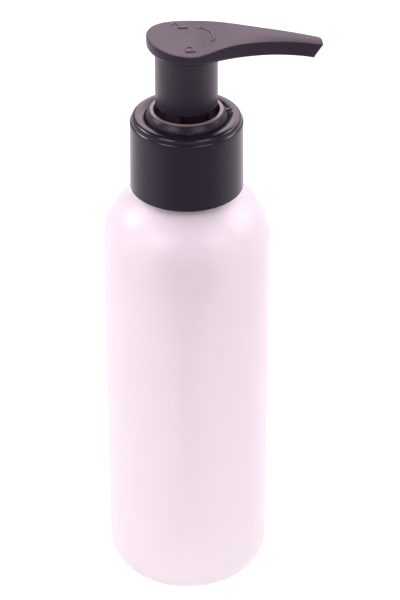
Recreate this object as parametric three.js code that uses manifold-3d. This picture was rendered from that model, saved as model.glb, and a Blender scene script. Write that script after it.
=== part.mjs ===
// A 125 ml cylinder bottle with a 24/410 screw-on lotion pump, as separate pieces.
// Millimetres, +Z up. The origin is the middle of the bottle's base, and the spout points along +X.

import * as THREE from "three";
import { mergeVertices } from "three/addons/utils/BufferGeometryUtils.js";
import Module from "manifold-3d";

const wasm = await Module();
wasm.setup();

// ---- driving dimensions ----

const GAP = 0.3;                 // clearance between pieces that touch on the real object
const BED = 0.3;                 // how deep a joined feature is sunk into its wall
const FULL_TURN = 2 * Math.PI;
const SEGMENTS = 48;             // facets round the large turned pieces
const FINE_SEGMENTS = 24;        // facets round the small turned pieces

// bottle
const BOTTLE_RADIUS = 20.7;
const WALL = 1.1;
const BASE_WALL = 1.4;
const BASE_FILLET = 7.3;
const SHOULDER_Z = 93.5;         // the straight wall ends here
const SHOULDER_PULL = [9.95, 13.8];  // heights over SHOULDER_Z that pull on the shoulder's curve
const SHOULDER_BULGE = 0.4;      // how far the upper pull lies outside the wall
const SHOULDER_TOP_Z = 112.5;    // the shoulder meets the neck here
const SHOULDER_TOP_RADIUS = 12.0;
const NECK_TOP_Z = 128.6;
const NECK_ROOT_RADIUS = 10.75;
const NECK_BORE_RADIUS = 9.7;
const THREAD_RADIUS = 11.8;
const THREAD_PITCH = 3.175;
const THREAD_TURNS = 1.5;
const THREAD_START_Z = 120.6;

// closure, the screw cap with an open top
const CLOSURE_BOTTOM_Z = 114.1;
const CLOSURE_TOP_Z = 133.55;
const CLOSURE_BOTTOM_RADIUS = 14.0;
const CLOSURE_TOP_RADIUS = 13.85;
const CLOSURE_EDGE = 1.6;
const CLOSURE_BORE_RADIUS = 12.3;
const CLOSURE_LID = 1.2;
const CLOSURE_HOLE_RADIUS = 10.45;
const CLOSURE_HOLE_Z = 133.2;    // the lid dips a little towards its hole
const CLOSURE_THREAD_RADIUS = 11.1;

// the stack that the closure clamps on the neck
const GASKET_THICKNESS = 1.0;
const GASKET_BOTTOM_Z = NECK_TOP_Z + GAP;
const HOUSING_FLANGE_Z = GASKET_BOTTOM_Z + GASKET_THICKNESS + GAP;
const FLANGE_THICKNESS = 0.8;
const COLLAR_FLANGE_Z = HOUSING_FLANGE_Z + FLANGE_THICKNESS + GAP;
const CLOSURE_CEILING_Z = CLOSURE_TOP_Z - CLOSURE_LID;

// pump housing
const HOUSING_FLANGE_RADIUS = 11.3;
const CUP_RADIUS = 9.35;
const CUP_BORE_RADIUS = 8.75;
const CUP_FLOOR_Z = 120.9;
const CYLINDER_RADIUS = 7.4;
const CYLINDER_BORE_RADIUS = 6.4;
const CYLINDER_FLOOR_Z = 85.0;
const CHAMBER_RADIUS = 2.6;      // the inlet ball's chamber
const CHAMBER_BOTTOM_Z = 80.5;
const INLET_RADIUS = 1.3;
const SEAT_BOTTOM_Z = 79.0;
const SOCKET_TOP_Z = 77.3;
const SOCKET_BOTTOM_Z = 71.8;
const SOCKET_RADIUS = 3.9;
const SOCKET_BORE_RADIUS = 2.8;
const VENT_RADIUS = 0.4;         // lets air in as the bottle empties
const VENT_Z = 119.2;

// collar, the ring that the actuator slides through
const RIM_TOP_Z = 135.05;
const RIM_RADIUS = 9.0;
const RIM_BORE_RADIUS = 8.05;
const TOWER_PULL = 0.6;          // how far the tower's curve starts straight at its foot and its rim
const COLLAR_RADIUS = 10.15;
const COLLAR_FLANGE_RADIUS = 11.9;
const COLLAR_SKIRT_RADIUS = 8.45;
const COLLAR_SKIRT_BORE_RADIUS = 7.95;
const COLLAR_SKIRT_Z = 126.0;
const POINTER_Z = CLOSURE_TOP_Z + GAP;

// stem guide, the plug in the housing's cup
const GUIDE_RADIUS = 5.0;
const GUIDE_BORE_RADIUS = 4.1;
const GUIDE_FLOOR_Z = CUP_FLOOR_Z + GAP;
const GUIDE_FLOOR_THICKNESS = 1.4;
const GUIDE_TOP_Z = 137.5;
const STOP_RIB_RADIUS = 6.1;
const STOP_RIB_ANGLE = THREE.MathUtils.degToRad(46);

// actuator: head, sleeve and spout in one moulding
const SLEEVE_RADIUS = 7.6;
const SLEEVE_BORE_RADIUS = 6.5;
const SLEEVE_BOTTOM_Z = 136.6;
const SLEEVE_TOP_Z = 152.6;      // the sleeve ends inside the head's plate
const HEAD_CEILING_Z = 150.1;
const HEAD_HALF_WIDTH = 10.1;
const HEAD_BACK = 9.6;           // how far the head reaches behind the axis
const SPOUT_REACH = 33.0;
const SPOUT_TIP_HALF_WIDTH = 2.2;
const SPOUT_CHANNEL_RADIUS = 1.0;
const CHANNEL_Z = 151.2;

// the head's plan, as [x, y] points of cubic curves, from the back to the tip
const WIDEST = [0, HEAD_HALF_WIDTH];
const PLAN_BACK = [[-HEAD_BACK, 0], [-HEAD_BACK, 5.4], [-5.6, HEAD_HALF_WIDTH], WIDEST];
const PLAN_SWEEP = [WIDEST, [5.7, HEAD_HALF_WIDTH], [9.6, 3.8], [SPOUT_REACH, SPOUT_TIP_HALF_WIDTH]];

// the head's side view, as [x, z] points of cubic curves: the top dips under the finger, then droops
const DIP_Z = 153.7;
const DIP = [0.5, DIP_Z];
const CREST = [11.0, 154.3];
const SPOUT_ROOT = [5.0, 151.3];
const TOP_DIP = [[-HEAD_BACK, 154.9], [-6.5, 154.4], [-2.5, DIP_Z], DIP];
const TOP_RISE = [DIP, [4.0, DIP_Z], [6.0, 154.33], CREST];
const TOP_DROOP = [CREST, [18.0, 154.28], [25.0, 153.2], [SPOUT_REACH, 151.1]];
const UNDER_HEAD = [[-HEAD_BACK, 152.2], [-6.0, 151.75], [-1.0, 151.65], SPOUT_ROOT];
const UNDER_SPOUT = [SPOUT_ROOT, [10.0, 151.0], [21.0, 150.6], [SPOUT_REACH - 2, 147.4]];
const CHANNEL_PATH = [[0, CHANNEL_Z], [9, 153.9], [20, 153.1], [SPOUT_REACH + 3, 147.8]];

// the head's inside and its marks
const BOSS_RADIUS = 3.8;
const BOSS_BORE_RADIUS = 2.9;
const BOSS_BOTTOM_Z = 141.0;
const LUG_BORE_RADIUS = 5.3;
const LUG_TOP_Z = 138.5;
const LUG_ANGLE = THREE.MathUtils.degToRad(36);
const MARK_HEIGHT = 0.2;         // the raised marks on the head
const MARK_RING_RADIUS = 6.4;
const HEAD_TURN = THREE.MathUtils.degToRad(90);

// stem, rod and piston
const STEM_RADIUS = 2.6;
const STEM_BORE_RADIUS = 1.6;
const STEM_BOTTOM_Z = 118.4;
const STEM_FLANGE_RADIUS = 3.6;
const ROD_RADIUS = 1.3;
const ROD_TOP_Z = 127.0;
const VALVE_RADIUS = 3.9;
const VALVE_TOP_Z = 110.7;
const VALVE_BOTTOM_Z = 109.5;
const ROD_PIN_RADIUS = 2.5;
const ROD_BOTTOM_Z = 106.0;
const PISTON_RADIUS = 6.2;
const PISTON_BOTTOM_Z = VALVE_TOP_Z + GAP;
const PISTON_TOP_Z = 117.0;
const PISTON_BORE_RADIUS = 2.0;
const PISTON_HUB_RADIUS = 3.4;

// spring, its seat, the ball and the dip tube
const SEAT_DISC_RADIUS = 6.1;
const SEAT_DISC_THICKNESS = 1.0;
const SPIGOT_RADIUS = 2.5;
const SPIGOT_BORE_RADIUS = 1.4;
const SPIGOT_TOP_Z = 90.0;
const SPRING_RADIUS = 3.4;
const WIRE_RADIUS = 0.4;
const SPRING_COILS = 7;
const BALL_RADIUS = 2.0;
const BALL_GAP = 0.2;
const TUBE_RADIUS = 2.5;
const TUBE_BORE_RADIUS = 1.7;
const TUBE_BOTTOM_Z = 4.5;
const TUBE_CUT_DEPTH = 4.0;      // the height of the slanted cut at the tube's foot

// ---- solids ----

/** Turns a closed three.js geometry into a solid that can be joined and cut. */
function solid(geometry) {
  const bare = geometry.clone();
  bare.deleteAttribute("normal");
  bare.deleteAttribute("uv");
  const merged = mergeVertices(bare);
  const corners = merged.index.array;
  const triangles = [];
  for (let i = 0; i < corners.length; i += 3) {
    const [a, b, c] = [corners[i], corners[i + 1], corners[i + 2]];
    if (a !== b && b !== c && c !== a) triangles.push(a, b, c);
  }
  const mesh = new wasm.Mesh({
    numProp: 3,
    vertProperties: new Float32Array(merged.attributes.position.array),
    triVerts: new Uint32Array(triangles),
  });
  return new wasm.Manifold(mesh);
}

/** Turns a solid back into a three.js geometry. */
function geometryOf(body) {
  const mesh = body.getMesh();
  const geometry = new THREE.BufferGeometry();
  geometry.setAttribute("position", new THREE.BufferAttribute(mesh.vertProperties, 3));
  geometry.setIndex(new THREE.BufferAttribute(mesh.triVerts, 1));
  geometry.computeVertexNormals();
  return geometry;
}

/** Turns a profile of [radius, z] points round the Z axis. Outer walls run upwards in the list. */
function turned(profile, segments = SEGMENTS) {
  const points = profile.map(([radius, z]) => new THREE.Vector2(radius, z));
  const onAxis = profile[0][0] === 0;
  if (!onAxis) points.push(points[0].clone());
  return solid(new THREE.LatheGeometry(points, segments).rotateX(Math.PI / 2));
}

/** A cylinder on the Z axis. */
function rod(radius, bottom, top, segments = FINE_SEGMENTS) {
  return turned([[0, bottom], [radius, bottom], [radius, top], [0, top]], segments);
}

/** A tube on the Z axis. */
function tube(radius, bore, bottom, top, segments = FINE_SEGMENTS) {
  return turned([[bore, bottom], [radius, bottom], [radius, top], [bore, top]], segments);
}

/** Points on an arc in the [radius, z] plane, both ends included. */
function arc(centreRadius, centreZ, radius, from, to, steps) {
  const points = [];
  for (let i = 0; i <= steps; i++) {
    const angle = THREE.MathUtils.degToRad(from + ((to - from) * i) / steps);
    points.push([centreRadius + radius * Math.cos(angle), centreZ + radius * Math.sin(angle)]);
  }
  return points;
}

/** Points on a cubic curve through [x, y] control points, both ends included. */
function cubic(start, pullStart, pullEnd, end, steps) {
  const ends = [start, pullStart, pullEnd, end].map(([x, y]) => new THREE.Vector2(x, y));
  return new THREE.CubicBezierCurve(...ends).getPoints(steps).map((p) => [p.x, p.y]);
}

/** A closed shape from a list of [x, y] points. */
function outline(points) {
  return new THREE.Shape(points.map(([x, y]) => new THREE.Vector2(x, y)));
}

/** A prism of a plan outline, between two heights. */
function prism(points, bottom, top) {
  const settings = { depth: top - bottom, bevelEnabled: false };
  return solid(new THREE.ExtrudeGeometry(outline(points), settings).translate(0, 0, bottom));
}

/** A block, given its middle in plan, its two widths and its heights. */
function box(x, y, width, depth, bottom, top) {
  const block = new THREE.BoxGeometry(width, depth, top - bottom);
  return solid(block.translate(x, y, (bottom + top) / 2));
}

/** A sector of a ring, centred on an angle, between two heights. */
function sector(bore, radius, centre, width, bottom, top) {
  const steps = 6;
  const points = [];
  for (let i = 0; i <= steps; i++) {
    const angle = centre - width / 2 + (width * i) / steps;
    points.push([radius * Math.cos(angle), radius * Math.sin(angle)]);
  }
  for (let i = steps; i >= 0; i--) {
    const angle = centre - width / 2 + (width * i) / steps;
    points.push([bore * Math.cos(angle), bore * Math.sin(angle)]);
  }
  return prism(points, bottom, top);
}

/**
 * A right-handed screw thread: a ridge whose section tapers from its root to its crest,
 * wrapped round the Z axis, with both ends running out into the wall.
 */
function thread(rootRadius, crestRadius, startZ) {
  const halfRoot = 0.75;
  const halfCrest = 0.3;
  const runOut = 0.12;
  const rise = crestRadius - rootRadius;
  const bed = -0.25 * Math.sign(rise);
  const section = outline([[-halfRoot, bed], [halfRoot, bed], [halfCrest, rise], [-halfCrest, rise]]);
  const settings = { depth: 1, steps: 36, bevelEnabled: false };
  const ridge = new THREE.ExtrudeGeometry(section, settings);
  const position = ridge.attributes.position;
  for (let i = 0; i < position.count; i++) {
    const along = position.getZ(i);
    const standing = Math.min(1, along / runOut, (1 - along) / runOut);
    const isCrest = position.getY(i) * rise > 0;
    const height = isCrest ? THREE.MathUtils.lerp(bed / 2, rise, standing) : bed;
    const angle = along * THREAD_TURNS * FULL_TURN;
    const z = startZ + position.getX(i) + along * THREAD_TURNS * THREAD_PITCH;
    const radius = rootRadius + height;
    position.setXYZ(i, radius * Math.cos(angle), radius * Math.sin(angle), z);
  }
  return solid(ridge);
}

/** A tube or wire along a curve. */
function swept(path, radius, steps, sides) {
  const section = new THREE.Shape().absarc(0, 0, radius, 0, FULL_TURN);
  const settings = { extrudePath: path, steps, curveSegments: sides, bevelEnabled: false };
  return solid(new THREE.ExtrudeGeometry(section, settings));
}

// ---- sub-parts ----

/** The blown bottle: flat base, straight wall, round shoulder, threaded neck. */
function bottle() {
  const innerFillet = BASE_FILLET - WALL;
  const filletCentre = BOTTLE_RADIUS - BASE_FILLET;
  const shoulder = (inset, steps) => cubic(
    [BOTTLE_RADIUS - inset, SHOULDER_Z],
    [BOTTLE_RADIUS - inset, SHOULDER_Z + SHOULDER_PULL[0]],
    [BOTTLE_RADIUS + SHOULDER_BULGE - inset, SHOULDER_Z + SHOULDER_PULL[1] - inset],
    [SHOULDER_TOP_RADIUS - inset, SHOULDER_TOP_Z - inset],
    steps,
  );
  const body = turned([
    [0, 0],
    ...arc(filletCentre, BASE_FILLET, BASE_FILLET, -90, 0, 5),
    ...shoulder(0, 8),
    [NECK_ROOT_RADIUS, SHOULDER_TOP_Z + 0.5],
    [NECK_ROOT_RADIUS, NECK_TOP_Z],
    [NECK_BORE_RADIUS, NECK_TOP_Z],
    [NECK_BORE_RADIUS, SHOULDER_TOP_Z - 0.5],
    ...shoulder(WALL, 6).reverse(),
    ...arc(filletCentre, BASE_WALL + innerFillet, innerFillet, 0, -90, 4),
    [0, BASE_WALL],
  ]);
  return body.add(thread(NECK_ROOT_RADIUS, THREAD_RADIUS, THREAD_START_Z));
}

/** The closure: a smooth cap with a hole in its lid for the collar, threaded inside. */
function closure() {
  const edgeCentre = [CLOSURE_TOP_RADIUS - CLOSURE_EDGE, CLOSURE_TOP_Z - CLOSURE_EDGE];
  const shell = turned([
    [CLOSURE_BORE_RADIUS, CLOSURE_BOTTOM_Z],
    [CLOSURE_BOTTOM_RADIUS, CLOSURE_BOTTOM_Z],
    ...arc(...edgeCentre, CLOSURE_EDGE, 0, 90, 5),
    [CLOSURE_HOLE_RADIUS, CLOSURE_HOLE_Z],
    [CLOSURE_HOLE_RADIUS, CLOSURE_CEILING_Z],
    [CLOSURE_BORE_RADIUS, CLOSURE_CEILING_Z],
  ]);
  const betweenTurns = THREAD_START_Z - THREAD_PITCH / 2;
  return shell.add(thread(CLOSURE_BORE_RADIUS, CLOSURE_THREAD_RADIUS, betweenTurns));
}

/** The gasket between the bottle's neck and the housing's flange. */
function neckGasket() {
  const top = GASKET_BOTTOM_Z + GASKET_THICKNESS;
  return tube(HOUSING_FLANGE_RADIUS, CUP_RADIUS + GAP, GASKET_BOTTOM_Z, top, SEGMENTS);
}

/** The pump housing: flange, cup, cylinder, ball chamber, valve seat and dip-tube socket. */
function pumpHousing() {
  const flangeTop = HOUSING_FLANGE_Z + FLANGE_THICKNESS;
  const shell = turned([
    [SOCKET_BORE_RADIUS, SOCKET_BOTTOM_Z],
    [SOCKET_RADIUS, SOCKET_BOTTOM_Z],
    [SOCKET_RADIUS, CHAMBER_BOTTOM_Z],
    [CYLINDER_RADIUS, CYLINDER_FLOOR_Z - 1.0],
    [CYLINDER_RADIUS, CUP_FLOOR_Z - 2.0],
    [CUP_RADIUS, CUP_FLOOR_Z - 0.2],
    [CUP_RADIUS, HOUSING_FLANGE_Z],
    [HOUSING_FLANGE_RADIUS, HOUSING_FLANGE_Z],
    [HOUSING_FLANGE_RADIUS, flangeTop],
    [CUP_BORE_RADIUS, flangeTop],
    [CUP_BORE_RADIUS, CUP_FLOOR_Z],
    [CYLINDER_BORE_RADIUS, CUP_FLOOR_Z],
    [CYLINDER_BORE_RADIUS, CYLINDER_FLOOR_Z],
    [CHAMBER_RADIUS, CYLINDER_FLOOR_Z],
    [CHAMBER_RADIUS, CHAMBER_BOTTOM_Z],
    [INLET_RADIUS, SEAT_BOTTOM_Z],
    [INLET_RADIUS, SOCKET_TOP_Z],
    [SOCKET_BORE_RADIUS, SOCKET_TOP_Z],
  ]);
  const vent = new THREE.CylinderGeometry(VENT_RADIUS, VENT_RADIUS, 3, 8).rotateZ(Math.PI / 2);
  return shell.subtract(solid(vent.translate(CYLINDER_RADIUS, 0, VENT_Z)));
}

/** The collar: a flange under the closure's lid, a bevelled tower above, a skirt in the cup. */
function lockCollar() {
  const flangeTop = CLOSURE_CEILING_Z - GAP;
  const foot = CLOSURE_HOLE_Z - GAP;
  const ring = turned([
    [COLLAR_SKIRT_BORE_RADIUS, COLLAR_SKIRT_Z],
    [COLLAR_SKIRT_RADIUS, COLLAR_SKIRT_Z],
    [COLLAR_SKIRT_RADIUS, COLLAR_FLANGE_Z],
    [COLLAR_FLANGE_RADIUS, COLLAR_FLANGE_Z],
    [COLLAR_FLANGE_RADIUS, flangeTop],
    [COLLAR_RADIUS, flangeTop],
    ...cubic([COLLAR_RADIUS, foot], [COLLAR_RADIUS, foot + TOWER_PULL],
      [RIM_RADIUS, RIM_TOP_Z - TOWER_PULL], [RIM_RADIUS, RIM_TOP_Z], 4),
    [RIM_BORE_RADIUS, RIM_TOP_Z],
    [COLLAR_SKIRT_BORE_RADIUS, RIM_TOP_Z - 1.4],
  ]);
  const tail = COLLAR_RADIUS - 0.7;
  const tip = COLLAR_RADIUS + 1.2;
  const halfWidth = 0.8;
  const pointer = prism([[tail, -halfWidth], [tip, 0], [tail, halfWidth]], POINTER_Z, POINTER_Z + 0.35);
  return ring.add(pointer);
}

/** The stem guide: a plug in the housing's cup, with two ribs that stop the head's turn. */
function stemGuide() {
  const floorTop = GUIDE_FLOOR_Z + GUIDE_FLOOR_THICKNESS;
  const plug = turned([
    [STEM_RADIUS + GAP, GUIDE_FLOOR_Z],
    [CUP_BORE_RADIUS - GAP, GUIDE_FLOOR_Z],
    [CUP_BORE_RADIUS - GAP, floorTop],
    [GUIDE_RADIUS, floorTop],
    [GUIDE_RADIUS, GUIDE_TOP_Z],
    [GUIDE_BORE_RADIUS, GUIDE_TOP_Z],
    [GUIDE_BORE_RADIUS, floorTop],
    [STEM_RADIUS + GAP, floorTop],
  ]);
  const stop = sector(GUIDE_RADIUS - BED, STOP_RIB_RADIUS, HEAD_TURN / 2, STOP_RIB_ANGLE,
    floorTop - BED, GUIDE_TOP_Z - BED);
  return plug.add(stop).add(stop.rotate([0, 0, 180]));
}

/** The head's plan: a round end about the axis that narrows in one sweep to the spout. */
function headPlan() {
  const side = [...cubic(...PLAN_BACK, 8), ...cubic(...PLAN_SWEEP, 14).slice(1)];
  const otherSide = side.slice(1).map(([x, y]) => [x, -y]);
  return [...side, ...otherSide.reverse()];
}

/** The head's side view, from its underside's back to the tip and back along its top. */
function headElevation() {
  const under = [...cubic(...UNDER_HEAD, 4), ...cubic(...UNDER_SPOUT, 8).slice(1)];
  const dip = [...cubic(...TOP_DIP, 6), ...cubic(...TOP_RISE, 5).slice(1)];
  const top = [...dip, ...cubic(...TOP_DROOP, 8).slice(1)];
  return [...under, ...top.reverse()];
}

/** The raised marks' plans: a two-way arrow, an open padlock and a closed padlock. */
function headMarks() {
  const bottom = DIP_Z - BED;
  const top = DIP_Z + 2;
  const shaft = 0.2;
  const barb = 0.7;
  const onRing = (radius, angle) => [radius * Math.cos(angle), radius * Math.sin(angle)];
  const arrowHead = (angle, way) => prism([
    onRing(MARK_RING_RADIUS - barb, angle),
    onRing(MARK_RING_RADIUS, angle + way * 0.2),
    onRing(MARK_RING_RADIUS + barb, angle),
  ], bottom, top);
  const padlock = (side, swing) => {
    const body = box(0, side * MARK_RING_RADIUS, 2.4, 1.6, bottom, top);
    const bow = sector(0.6, 1.0, Math.PI / 2, Math.PI, bottom, top);
    return body.add(bow.translate([swing, side * MARK_RING_RADIUS + 0.75, 0]));
  };
  return [
    sector(MARK_RING_RADIUS - shaft, MARK_RING_RADIUS + shaft, 0.3, 1.2, bottom, top),
    arrowHead(0.85, 1),
    arrowHead(-0.25, -1),
    padlock(1, -1.6),
    padlock(-1, 0),
  ];
}

/** The actuator: head, spout, sleeve, lugs and stem socket, with the oil's way to the tip. */
function actuator() {
  const depth = 3 * HEAD_HALF_WIDTH;
  const elevation = new THREE.ExtrudeGeometry(outline(headElevation()), { depth, bevelEnabled: false });
  const slice = solid(elevation.rotateX(Math.PI / 2).translate(0, depth / 2, 0));
  const plate = prism(headPlan(), 140, 160).intersect(slice);
  const raised = slice.translate([0, 0, MARK_HEIGHT]);
  const neck = rod(SLEEVE_RADIUS, SLEEVE_BOTTOM_Z, SLEEVE_TOP_Z, SEGMENTS);
  const bore = rod(SLEEVE_BORE_RADIUS, SLEEVE_BOTTOM_Z - 1, HEAD_CEILING_Z, SEGMENTS);
  const boss = rod(BOSS_RADIUS, BOSS_BOTTOM_Z, HEAD_CEILING_Z + BED);
  const lug = sector(LUG_BORE_RADIUS, SLEEVE_BORE_RADIUS + BED, 0, LUG_ANGLE, SLEEVE_BOTTOM_Z, LUG_TOP_Z);
  const socket = rod(BOSS_BORE_RADIUS, BOSS_BOTTOM_Z - 1, HEAD_CEILING_Z);
  const riser = rod(STEM_BORE_RADIUS, HEAD_CEILING_Z - 1, CHANNEL_Z + BED);
  const channelPoints = CHANNEL_PATH.map(([x, z]) => new THREE.Vector3(x, 0, z));
  const channelPath = new THREE.CubicBezierCurve3(...channelPoints);
  const channel = swept(channelPath, SPOUT_CHANNEL_RADIUS, 12, 5);
  const moulding = headMarks().reduce(
    (body, mark) => body.add(mark.intersect(raised)),
    plate.add(neck).subtract(bore).add(boss).add(lug).add(lug.rotate([0, 0, 180])),
  );
  return moulding.subtract(socket).subtract(riser).subtract(channel);
}

/** The stem: a tube from the head's socket down to the flange that pushes the piston. */
function stem() {
  const top = HEAD_CEILING_Z - GAP;
  return turned([
    [STEM_BORE_RADIUS, STEM_BOTTOM_Z],
    [STEM_FLANGE_RADIUS, STEM_BOTTOM_Z],
    [STEM_FLANGE_RADIUS, STEM_BOTTOM_Z + 1.0],
    [STEM_RADIUS, STEM_BOTTOM_Z + 1.6],
    [STEM_RADIUS, top],
    [STEM_BORE_RADIUS, top],
  ], FINE_SEGMENTS);
}

/** The rod: a shank in the stem, a valve disc under the piston and a pin in the spring. */
function pistonRod() {
  return turned([
    [0, ROD_BOTTOM_Z],
    [ROD_PIN_RADIUS - 0.4, ROD_BOTTOM_Z],
    [ROD_PIN_RADIUS, ROD_BOTTOM_Z + 0.6],
    [ROD_PIN_RADIUS, VALVE_BOTTOM_Z],
    [VALVE_RADIUS, VALVE_BOTTOM_Z],
    [VALVE_RADIUS, VALVE_TOP_Z],
    [ROD_RADIUS, VALVE_TOP_Z + 0.6],
    [ROD_RADIUS, ROD_TOP_Z],
    [0, ROD_TOP_Z],
  ], FINE_SEGMENTS);
}

/** The piston: a hub round the rod, and a web to an outer wall with a lip at each end. */
function piston() {
  const lipHeight = 1.2;
  const wallRadius = PISTON_RADIUS - 0.5;
  const wallBore = wallRadius - 0.9;
  const bottom = PISTON_BOTTOM_Z + 0.6;
  const webBottom = (PISTON_BOTTOM_Z + PISTON_TOP_Z) / 2 - 0.6;
  const webTop = webBottom + 1.0;
  return turned([
    [PISTON_BORE_RADIUS, bottom],
    [PISTON_HUB_RADIUS, bottom],
    [PISTON_HUB_RADIUS, webBottom],
    [wallBore, webBottom],
    [PISTON_RADIUS - 0.4, PISTON_BOTTOM_Z],
    [PISTON_RADIUS, PISTON_BOTTOM_Z],
    [wallRadius, PISTON_BOTTOM_Z + lipHeight],
    [wallRadius, PISTON_TOP_Z - lipHeight],
    [PISTON_RADIUS, PISTON_TOP_Z],
    [PISTON_RADIUS - 0.4, PISTON_TOP_Z],
    [wallBore, webTop],
    [PISTON_HUB_RADIUS, webTop],
    [PISTON_HUB_RADIUS, PISTON_TOP_Z],
    [PISTON_BORE_RADIUS, PISTON_TOP_Z],
  ], FINE_SEGMENTS);
}

/** The spring seat: a disc over the ball chamber, with a spigot for the spring and three ports. */
function springSeat() {
  const bottom = CYLINDER_FLOOR_Z + GAP;
  const top = bottom + SEAT_DISC_THICKNESS;
  const seat = turned([
    [SPIGOT_BORE_RADIUS, bottom],
    [SEAT_DISC_RADIUS, bottom],
    [SEAT_DISC_RADIUS, top],
    [SPIGOT_RADIUS, top],
    [SPIGOT_RADIUS, SPIGOT_TOP_Z],
    [SPIGOT_BORE_RADIUS, SPIGOT_TOP_Z],
  ], FINE_SEGMENTS);
  const port = rod(0.8, bottom - 1, top + 1, 8).translate([SEAT_DISC_RADIUS - 1.2, 0, 0]);
  return [0, 120, 240].reduce((body, angle) => body.subtract(port.rotate([0, 0, angle])), seat);
}

/** A compression spring's wire: open coils, with the first and last turns wound close. */
class SpringCurve extends THREE.Curve {
  constructor(bottom, top) {
    super();
    this.bottom = bottom;
    this.top = top;
  }

  getPoint(t, target = new THREE.Vector3()) {
    const angle = t * SPRING_COILS * FULL_TURN;
    const closed = 1 / SPRING_COILS;
    const openPart = THREE.MathUtils.clamp((t - closed) / (1 - 2 * closed), 0, 1);
    const closedTurns = Math.min(t, closed) / closed + Math.max(t - 1 + closed, 0) / closed;
    const closedRise = closedTurns * (2 * WIRE_RADIUS + 0.1);
    const openRise = openPart * (this.top - this.bottom - 2 * (2 * WIRE_RADIUS + 0.1));
    const z = this.bottom + closedRise + openRise;
    return target.set(SPRING_RADIUS * Math.cos(angle), SPRING_RADIUS * Math.sin(angle), z);
  }
}

/** The return spring between the seat and the rod's disc. */
function spring() {
  const bottom = CYLINDER_FLOOR_Z + GAP + SEAT_DISC_THICKNESS + GAP + WIRE_RADIUS;
  const top = VALVE_BOTTOM_Z - GAP - WIRE_RADIUS;
  return swept(new SpringCurve(bottom, top), WIRE_RADIUS, 14 * SPRING_COILS, 3);
}

/** The steel ball that closes the inlet, resting in the chamber's cone. */
function inletBall() {
  const coneSlope = Math.atan2(CHAMBER_RADIUS - INLET_RADIUS, CHAMBER_BOTTOM_Z - SEAT_BOTTOM_Z);
  const coneTipZ = SEAT_BOTTOM_Z - INLET_RADIUS / Math.tan(coneSlope);
  const centreZ = coneTipZ + (BALL_RADIUS + BALL_GAP) / Math.sin(coneSlope);
  return solid(new THREE.SphereGeometry(BALL_RADIUS, 20, 12).rotateX(Math.PI / 2).translate(0, 0, centreZ));
}

/** The dip tube, cut at a slant at its foot so that it can't seal against the base. */
function dipTube() {
  const straight = tube(TUBE_RADIUS, TUBE_BORE_RADIUS, TUBE_BOTTOM_Z, SOCKET_TOP_Z - GAP);
  const reach = TUBE_RADIUS + 1;
  const slope = TUBE_CUT_DEPTH / (2 * TUBE_RADIUS);
  const wedge = outline([
    [-reach, TUBE_BOTTOM_Z - 1],
    [reach, TUBE_BOTTOM_Z - 1],
    [reach, TUBE_BOTTOM_Z + TUBE_CUT_DEPTH + slope],
    [-reach, TUBE_BOTTOM_Z - slope],
  ]);
  const cut = new THREE.ExtrudeGeometry(wedge, { depth: 2 * reach, bevelEnabled: false });
  return straight.subtract(solid(cut.rotateX(Math.PI / 2).translate(0, reach, 0)));
}

// ---- assembly ----

const frostedPlastic = { color: 0xf0e6ec, roughness: 0.45, metalness: 0 };
const blackPlastic = { color: 0x1c1a1f, roughness: 0.4, metalness: 0 };
const naturalPlastic = { color: 0xe4e2de, roughness: 0.45, metalness: 0 };
const gasketFoam = { color: 0xf4f2ee, roughness: 0.85, metalness: 0 };
const springSteel = { color: 0xb4b6ba, roughness: 0.3, metalness: 1 };

const subParts = [
  ["bottle", bottle, frostedPlastic],
  ["closure", closure, blackPlastic],
  ["lock_collar", lockCollar, blackPlastic],
  ["stem_guide", stemGuide, blackPlastic],
  ["neck_gasket", neckGasket, gasketFoam],
  ["pump_housing", pumpHousing, naturalPlastic],
  ["spring_seat", springSeat, naturalPlastic],
  ["inlet_ball", inletBall, springSteel],
  ["spring", spring, springSteel],
  ["piston", piston, naturalPlastic],
  ["piston_rod", pistonRod, naturalPlastic],
  ["stem", stem, naturalPlastic],
  ["actuator", actuator, blackPlastic],
  ["dip_tube", dipTube, naturalPlastic],
];

const pumpBottle = new THREE.Group();
for (const [name, make, look] of subParts) {
  const mesh = new THREE.Mesh(geometryOf(make()), new THREE.MeshStandardMaterial(look));
  mesh.name = name;
  pumpBottle.add(mesh);
}

export default pumpBottle;
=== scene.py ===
"""A 125 ml translucent bottle with a black lotion pump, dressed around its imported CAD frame.

Sizes are in millimetres, from the CAD nodes' boxes where a box gives them, and a mesh is scaled to metres as
it is made. Round pieces are turned from profiles, and the head is lofted from its plan and its side view.
"""

import math

import bmesh
import bpy
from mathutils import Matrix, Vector


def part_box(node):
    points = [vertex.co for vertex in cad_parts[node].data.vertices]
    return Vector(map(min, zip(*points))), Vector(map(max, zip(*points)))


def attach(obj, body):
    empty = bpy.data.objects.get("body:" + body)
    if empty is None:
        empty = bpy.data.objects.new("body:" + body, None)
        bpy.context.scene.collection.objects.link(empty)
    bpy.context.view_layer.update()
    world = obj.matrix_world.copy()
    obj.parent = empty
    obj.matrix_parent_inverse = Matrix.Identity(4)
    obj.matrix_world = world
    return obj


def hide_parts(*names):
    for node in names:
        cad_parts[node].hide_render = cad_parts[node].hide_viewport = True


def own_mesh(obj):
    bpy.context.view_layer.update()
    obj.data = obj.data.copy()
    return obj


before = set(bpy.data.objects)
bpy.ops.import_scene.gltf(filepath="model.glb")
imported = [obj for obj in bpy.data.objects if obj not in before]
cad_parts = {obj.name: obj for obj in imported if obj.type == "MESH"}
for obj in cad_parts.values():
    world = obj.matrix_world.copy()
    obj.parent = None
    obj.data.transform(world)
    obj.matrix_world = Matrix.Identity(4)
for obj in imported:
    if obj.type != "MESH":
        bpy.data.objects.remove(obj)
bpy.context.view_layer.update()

MM = 0.001
FULL_TURN = 2 * math.pi
SEGMENTS = 144          # facets round the large pieces
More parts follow.
